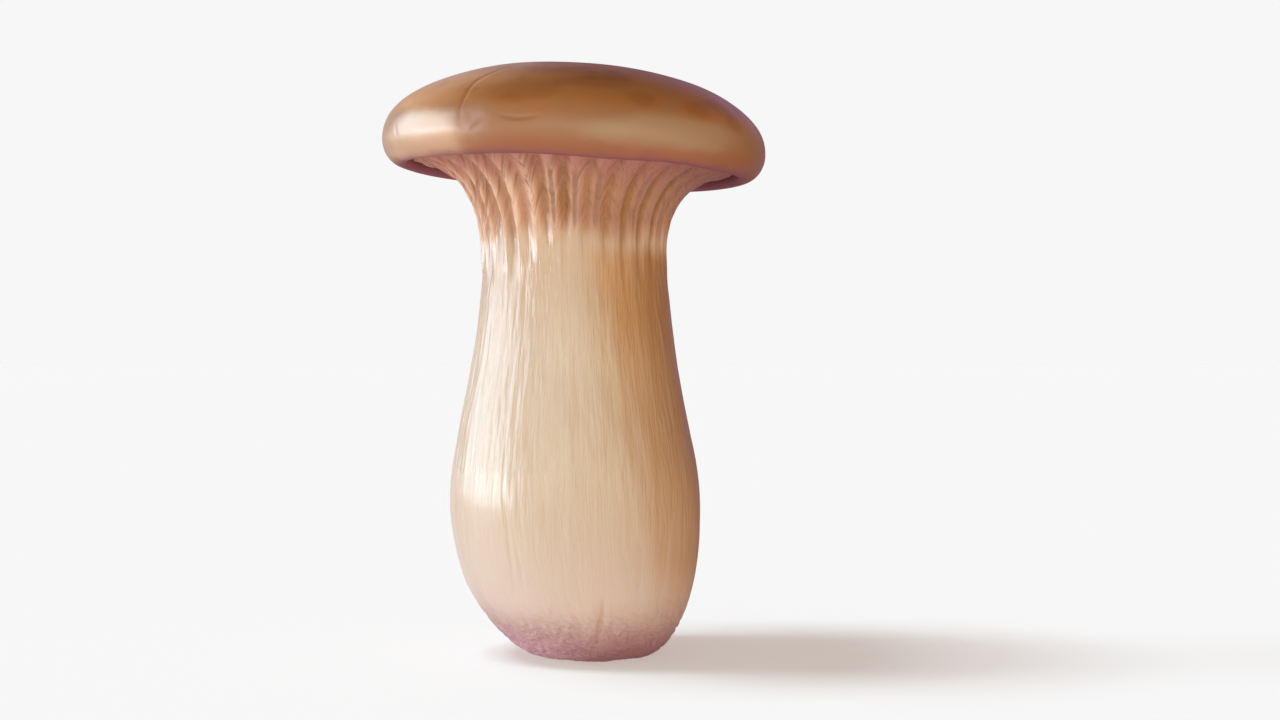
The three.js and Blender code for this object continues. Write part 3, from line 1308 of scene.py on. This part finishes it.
@dataclass
class Cap:
    """The brown cap: a flat seat over the gills, the rolled rim and the dome. Sizes are in mm.

    Attributes:
        radius: Half its width.
        depth: From the rim's lowest edge to the crown.
        seat: How far above the rim's lowest edge the seat over the gills is.
        outline: From the wall beside the gills to the crown, as shares of radius and depth.
        columns: Points round each ring, before it is refined.
        creases: The creases in its skin.
        slack: How deep all of the skin is pressed in, so that a low fold can be left standing.
        lump_depth: How deep the soft hollows all over are.
        lump_size: How big those are.
        dent: The middle of the small flat dent beside the long crease.
        dent_depth: How deep that dent is.
        dent_width: How far from its middle it reaches.
        swelling: How far the skin stands out before its relief is pressed in.
    """

    radius: float = 39.2
    depth: float = 21.7
    seat: float = 3.4
    outline: tuple[Point, ...] = (
        (0.862, 0.065), (0.877, 0.012), (0.902, 0.0), (0.935, 0.019), (0.972, 0.081),
        (0.994, 0.165), (1.0, 0.245), (0.992, 0.355), (0.965, 0.463), (0.915, 0.566),
        (0.85, 0.657), (0.765, 0.747), (0.655, 0.833), (0.51, 0.912), (0.345, 0.966),
        (0.17, 0.992), (0.04, 1.0),
    )
    columns: int = 128
    creases: tuple[CapCrease, ...] = (
        CapCrease(
            (
                (-10.5, -21.5, 18.4), (-13.9, -23.9, 17.3), (-16.2, -25.8, 15.9),
                (-18.3, -27.5, 14.4), (-20.1, -31.0, 11.2), (-21.0, -32.3, 8.7),
                (-20.9, -33.0, 6.5), (-20.5, -33.3, 4.4),
            ),
            0.8,
            0.12,
        ),
        CapCrease(
            (
                (-13.4, -36.6, 7.1), (-11.8, -37.3, 6.5), (-9.7, -37.9, 6.2), (-6.8, -38.5, 6.6),
                (-4.6, -38.7, 7.2),
            ),
            0.9,
            0.13,
        ),
        CapCrease(((-34.5, -18.2, 6.9), (-34.2, -19.0, 5.0), (-33.7, -19.3, 3.3)), 0.9, 0.09),
        CapCrease(((-16.8, -35.4, 6.0), (-18.3, -34.6, 5.1), (-19.7, -33.8, 4.2)), 1.1, -0.16),
        CapCrease(((22.0, 25.0, 15.4), (26.5, 26.5, 11.8), (28.0, 27.5, 7.5)), 1.0, 0.3),
    )
    slack: float = 0.25
    lump_depth: float = 0.45
    lump_size: float = 17.0
    dent: Place = (-18.8, -34.3, 5.9)
    dent_depth: float = 0.35
    dent_width: float = 3.0
    swelling: float = 0.5

    def ring(self, radius: float, height: float) -> Ring:
        """Places a ring of the upright cap."""
        return Ring(radius, height, Vector((0, 0, height)))

    def loft(self) -> bpy.types.Object:
        """Grows the bare skin upright, from the seat over the gills to the crown.

        Returns:
            The piece.
        """
        outline = [(share * self.radius, rise * self.depth) for share, rise in self.outline]
        wall = outline[0][0]
        skin = Loft("mushroom_cap", self.columns, self.ring(wall - INSET, self.seat))
        skin.extend(self.ring(wall, self.seat))
        for radius, height in curve_through(outline, [CURVE_STEPS] * (len(outline) - 1)):
            skin.extend(self.ring(radius, height))
        piece = skin.close()
        squeeze(piece)
        refine(piece)
        return piece

    def carve(self, piece: bpy.types.Object) -> None:
        """Presses the cap's soft hollows and creases into its skin.

        Args:
            piece: The bare skin.
        """
        places = [vert.co / MM for vert in piece.data.vertices]
        paths = [crease.lay_on(piece) for crease in self.creases]
        folds = [
            [crease.share(place, path) for crease, path in zip(self.creases, paths)]
            for place in places
        ]
        swell(piece, self.swelling)
        write_numbers(piece, "mark", [max(shares) for shares in folds])
        press(piece, list(map(self.hollow, places, folds)))

    def hollow(self, place: Vector, shares: Sequence[float]) -> float:
        """Finds how deep the skin is pressed in at a place.

        Args:
            place: The place on the skin.
            shares: How deep each crease is there, as a share of its depth.

        Returns:
            The depth, in mm.
        """
        lump = self.lump_depth * (0.5 + 0.6 * noise.noise(place / self.lump_size))
        dent = self.dent_depth * bell((place - Vector(self.dent)).length, self.dent_width)
        creased = sum(share * crease.depth for share, crease in zip(shares, self.creases))
        return self.slack + lump + dent + creased

    def seat_on(self, piece: bpy.types.Object) -> None:
        """Leans the cap over and moves it up into its place.

        Args:
            piece: The upright cap. It is not used.
        """
        bpy.ops.object.mode_set(mode="EDIT")
        bpy.ops.mesh.select_all(action="SELECT")
        bpy.ops.transform.rotate(value=-CAP_TILT, orient_axis="Y", center_override=(0, 0, 0))
        bpy.ops.transform.translate(value=(CAP_SHIFT * MM, 0, RIM_HEIGHT * MM))
        bpy.ops.object.mode_set(mode="OBJECT")

    def build(self, skin: "CapSkin") -> None:
        """Makes the finished cap.

        Args:
            skin: What it is dressed in.
        """
        piece = self.loft()
        self.carve(piece)
        self.seat_on(piece)
        hand_over(piece, Part.CAP, skin.mix())


class CapMaps:
    """What varies over the cap. Its colours and sheen are mixed from it."""

    def __init__(self, bench: Bench) -> None:
        """Reads the cap's attributes and adds its noises.

        Args:
            bench: The material's bench.
        """
        self.bench = bench
        self.place = bench.place()
        self.across = bench.part_of(self.place, "X")
        self.height = bench.part_of(self.place, "Z") + self.across * math.tan(CAP_TILT)
        self.travel = bench.part_of(bench.attribute("flow", vector=True), "Z")
        self.mark = bench.attribute("mark")
        self.cloud = bench.grain(self.place, (13.0, 13.0, 8.0), detail=4.0, warp=0.5, seed=1.0)
        self.mottle = bench.grain(self.place, (5.0, 5.0, 3.5), detail=5.0, seed=2.0)
        self.pore = bench.grain(self.place, (0.5, 0.5, 0.5), detail=3.0, seed=4.0)
        self.uneven = self.height + (self.cloud - 0.5) * 10 + (self.mottle - 0.5) * 5


@dataclass(frozen=True)
class Patch:
    """A cloudy patch of colour on the cap.

    Attributes:
        centre: Its middle, in mm.
        size: How far it reaches along each axis, in mm.
        ragged: How much the mottling eats into its edge.
    """

    centre: Place
    size: Place
    ragged: float = 0.6

    def amount(self, maps: CapMaps) -> Signal:
        """Finds how much of the patch there is, from about 0 to 1."""
        spot = maps.bench.spot(maps.place, self.centre, self.size)
        return spot + (maps.mottle - 0.5) * self.ragged


@dataclass(frozen=True)
class CapSkin:
    """The cap's skin: satin tan-brown with darker cloudy patches, a painted highlight towards -X,
    a painted reflection in front, and painted shade low towards +X, in the creases and under the
    rim.

    Attributes:
        tan: The colour low on its side.
        pale: The colour of the band in front: its own paler skin, brightened as a painted
            reflection of the front light.
        brown: The colour of the dome.
        flank_highlight: The colour of the painted highlight on the cap's side towards -X.
        dark: The colour of the patches, and of the painted shade in the creases and on the low
            side towards +X.
        rust: The colour of the rim.
        shade: The colour of the painted shade under the rim, tinted mauve as painted light from
            below.
        band: Where the pale band in front, with its painted reflection, is.
        side: Where the painted highlight on the cap's side towards -X is.
        patches: Where the dark patches are.
    """

    tan: Colour = paint(174, 122, 83)
    pale: Colour = paint(180, 140, 104)
    brown: Colour = paint(186, 120, 64)
    flank_highlight: Colour = paint(232, 190, 152)
    dark: Colour = paint(150, 88, 40)
    rust: Colour = paint(165, 97, 64)
    shade: Colour = paint(142, 74, 92)
    band: Patch = Patch((17.0, -30.0, 102.6), (27.0, 22.0, 6.0), 0.5)
    side: Patch = Patch((-29.0, -24.0, 102.6), (17.0, 30.0, 9.0), 0.4)
    patches: tuple[Patch, ...] = (
        Patch((-9.0, -34.0, 110.5), (13.0, 12.0, 4.8)),
        Patch((-28.0, -14.0, 113.5), (14.0, 18.0, 6.0)),
        Patch((5.0, -32.0, 112.3), (14.0, 9.0, 2.8)),
        Patch((14.0, -33.5, 109.0), (5.0, 5.0, 3.4)),
        Patch((25.0, -28.0, 107.8), (6.0, 7.0, 3.6)),
        Patch((31.5, -21.0, 105.8), (4.0, 6.0, 3.2)),
    )

    def dome_tints(self, maps: CapMaps) -> list[Tint]:
        """Lists the tints of the dome and its sides, with a painted highlight towards -X and a
        painted reflection in front.

        Args:
            maps: What varies over the cap.

        Returns:
            The tints, the lowest first.
        """
        clouded = [patch.amount(maps).rise(0.1, 0.8) * 0.35 for patch in self.patches]
        darker = (maps.cloud * 0.6 + maps.mottle * 0.4).rise(0.5, 0.62)
        return [
            # the paler band in front, partly a painted reflection of the front light
            (self.pale, self.band.amount(maps).rise(0.1, 0.6)),
            (self.brown, maps.uneven.rise(105.0, 109.5) * 0.85),
            # painted highlight on the cap's side towards -X
            (self.flank_highlight, self.side.amount(maps).rise(0.1, 0.65) * 0.8),
            *[(self.dark, amount) for amount in clouded],
            (self.dark, darker * maps.uneven.rise(108, 112) * 0.5),
        ]

    def rim_tints(self, maps: CapMaps) -> list[Tint]:
        """Lists the tints of the rim, and the painted shade low towards +X, in the creases and
        under the rim.

        Args:
            maps: What varies over the cap.

        Returns:
            The tints, the lowest first.
        """
        across, height, mottle = maps.across, maps.height, maps.mottle
        low = (height + (mottle - 0.5) * 2).rise(102.6, 99.4)
        return [
            (self.rust, low * (0.3 + across.rise(-26, -6) * 0.55)),
            # painted shade on the low side towards +X
            (self.dark, across.rise(18, 38) * height.rise(107, 101) * 0.6),
            # painted shade in the creases
            (self.dark, maps.mark.rise(0.2, 0.9) * 0.4),
            # painted shade under the rim, tinted mauve as painted light from below
            (self.shade, (maps.travel + (mottle - 0.5) * 3).rise(8.5, 4.5) * 0.85),
        ]

    def mix(self) -> bpy.types.Material:
        """Builds the material.

        Returns:
            The material.
        """
        bench = Bench(bpy.data.materials.new("cap_skin"))
        maps = CapMaps(bench)
        tints = [*self.dome_tints(maps), *self.rim_tints(maps)]
        beneath = maps.travel.rise(9, 5)
        coat = 0.14 + maps.across.rise(-9, -24) * maps.height.rise(111, 106) * 0.76
        return bench.finish(
            {
                "Base Color": bench.tinted(self.tan, tints),
                "Roughness": 0.32 + maps.mottle * 0.1 + beneath * 0.3,
                "Normal": bench.bumped([(maps.pore, 0.015)]),
                "Subsurface Weight": 0.12,
                "Subsurface Radius": (1.0, 0.4, 0.2),
                "Subsurface Scale": 3 * MM,
                "Specular IOR Level": 0.35,
                "Coat Weight": coat * (1 - beneath),
                "Coat Roughness": 0.35,
            }
        )


# ---------------------------------------------------------------- the studio


class Lit(Enum):
    """What a light falls on, by how the floor is linked to it."""

    FLOOR = "INCLUDE"
    REST = "EXCLUDE"


@dataclass(frozen=True)
class Lamp:
    """A light that faces the mushroom's middle, a metre from it.

    Attributes:
        name: Its name.
        azimuth: Degrees round from the camera, to the right.
        elevation: Degrees above the mushroom's middle.
        power: Watts, which are on each square metre that faces it if it is a floor light.
        colour: Its colour.
    """

    name: str
    azimuth: float
    elevation: float
    power: float
    colour: Colour

    def hang(self, lamp: bpy.types.Light, floor: bpy.types.Object, lit: Lit) -> bpy.types.Object:
        """Hangs the light.

        Args:
            lamp: The light.
            floor: The floor.
            lit: What it falls on.

        Returns:
            The light's object.
        """
        lamp.energy = self.power
        lamp.color = self.colour
        across, up = math.radians(self.azimuth), math.radians(self.elevation)
        outward = Vector(
            (math.sin(across) * math.cos(up), -math.cos(across) * math.cos(up), math.sin(up))
        )
        holder = bpy.data.objects.new(self.name, lamp)
        holder.location = MUSHROOM_MIDDLE + outward
        holder.rotation_euler = outward.to_track_quat("Z", "Y").to_euler()
        bpy.context.collection.objects.link(holder)
        linked = bpy.data.collections.new(self.name)
        linked.objects.link(floor)
        linked.collection_objects[0].light_linking.link_state = lit.value
        holder.light_linking.receiver_collection = linked
        return holder


@dataclass(frozen=True)
class Softbox(Lamp):
    """A soft studio light, which lights all but the floor.

    Attributes:
        width: Metres.
        height: Metres.
    """

    width: float
    height: float

    def light(self, floor: bpy.types.Object) -> None:
        """Makes and hangs it.

        Args:
            floor: The floor.
        """
        lamp = bpy.data.lights.new(self.name, "AREA")
        lamp.shape = "RECTANGLE"
        lamp.size = self.width
        lamp.size_y = self.height
        self.hang(lamp, floor, Lit.REST)


@dataclass(frozen=True)
class FloorLight(Lamp):
    """An even light that falls on the floor alone.

    Attributes:
        spread: How wide it is in the sky, in degrees.
        shadow: Whether the mushroom casts a shadow in it.
    """

    spread: float
    shadow: bool = True

    def light(self, floor: bpy.types.Object) -> None:
        """Makes and hangs it.

        Args:
            floor: The floor.
        """
        lamp = bpy.data.lights.new(self.name, "SUN")
        lamp.angle = math.radians(self.spread)
        links = self.hang(lamp, floor, Lit.FLOOR).light_linking
        if not self.shadow:
            links.blocker_collection = links.receiver_collection


@dataclass
class Studio:
    """The pale floor, the camera and the lights.

    Attributes:
        lens: The camera's focal length, in mm.
        eye: Where the camera stands, in mm. It looks level, along +Y.
        nearest: The nearest that the camera sees, in metres.
        floor_size: How wide the floor is, in metres.
        floor_grey: The floor's colour, which the floor lights brighten.
        backdrop: The colour behind everything.
        glow: The colour that the backdrop lights everything with.
        lights: All the lights.
    """

    lens: float = 50.0
    eye: Place = (13.4, -365.5, 60.1)
    nearest: float = 0.01
    floor_size: float = 40.0
    floor_grey: Colour = (0.3, 0.3, 0.3)
    backdrop: Colour = paint(247, 247, 247)
    glow: Colour = (0.1, 0.06, 0.06)
    # Name, azimuth, elevation, power and colour, then width and height, or spread and shadow.
    lights: tuple[Softbox | FloorLight, ...] = (
        Softbox("key", -92, 15, 8.5, (0.63, 0.82, 1.0), 1.19, 0.62),
        Softbox("low", -80, 0, 2.81, (0.9, 0.92, 1.0), 0.75, 0.2),
        Softbox("fill", 0, 8, 3.2, (0.95, 1.0, 0.85), 1.25, 0.44),
        Softbox("warm", 42, 6, 1.8, (1.0, 0.7, 0.36), 0.62, 0.5),
        Softbox("top", -138, 42, 1.7, (1.0, 0.64, 0.4), 0.75, 0.5),
        Softbox("edge", 166, 30, 0.4, (0.7, 0.55, 1.0), 1.0, 0.44),
        Softbox("left_edge", -158, 8, 1.4, (0.9, 0.86, 0.8), 0.6, 1.2),
        Softbox("right_edge", 156, 8, 0.55, (0.55, 0.4, 1.0), 0.5, 1.2),
        FloorLight("floor_low", -93, 25, 1.33, (0.736, 0.901, 1.0), 14),
        FloorLight("floor_high", -93, 58, 2.62, (0.736, 0.901, 1.0), 16),
        FloorLight("floor_top", -93, 72, 2.05, (0.736, 0.901, 1.0), 16),
        FloorLight("floor_soft", 0, 90, 1.07, (1.0, 0.95, 0.9), 150),
        FloorLight("floor_even", 0, 90, 4.9, (1.0, 0.875, 0.796), 20, False),
    )

    def set_up(self) -> None:
        """Builds the floor, the backdrop's light, the lamps and the camera."""
        floor = self._lay_floor()
        self._paint_world()
        for light in self.lights:
            light.light(floor)
        self._place_camera()

    def _lay_floor(self) -> bpy.types.Object:
        """Lays a wide pale floor.

        Returns:
            The floor.
        """
        bpy.ops.object.select_all(action="DESELECT")
        bpy.ops.mesh.primitive_plane_add(size=self.floor_size)
        floor = bpy.context.object
        floor.name = "floor"
        floor.visible_glossy = False
        bench = Bench(bpy.data.materials.new("floor"))
        matt = {"Base Color": self.floor_grey, "Roughness": 1.0, "Specular IOR Level": 0.0}
        floor.data.materials.append(bench.finish(matt))
        return floor

    def _paint_world(self) -> None:
        """Sets a pale backdrop that lights the mushroom only a little."""
        world = bpy.data.worlds.new("backdrop")
        bpy.context.scene.world = world
        Bench(world).surround(self.backdrop, self.glow)

    def _place_camera(self) -> None:
        """Places the camera, which shows the colours as they are."""
        lens = bpy.data.cameras.new("camera")
        lens.lens = self.lens
        lens.clip_start = self.nearest
        camera = bpy.data.objects.new("camera", lens)
        camera.location = Vector(self.eye) * MM
        camera.rotation_euler = (math.pi / 2, 0, 0)
        bpy.context.collection.objects.link(camera)
        bpy.context.scene.camera = camera
        bpy.context.scene.view_settings.view_transform = "Standard"


def main() -> None:
    """Builds the mushroom and the studio."""
    logging.basicConfig(level=logging.INFO, format="%(name)s: %(message)s")
    Studio().set_up()
    Stem().build(StemFlesh())
    Cap().build(CapSkin())


if __name__ == "__main__":
    main()
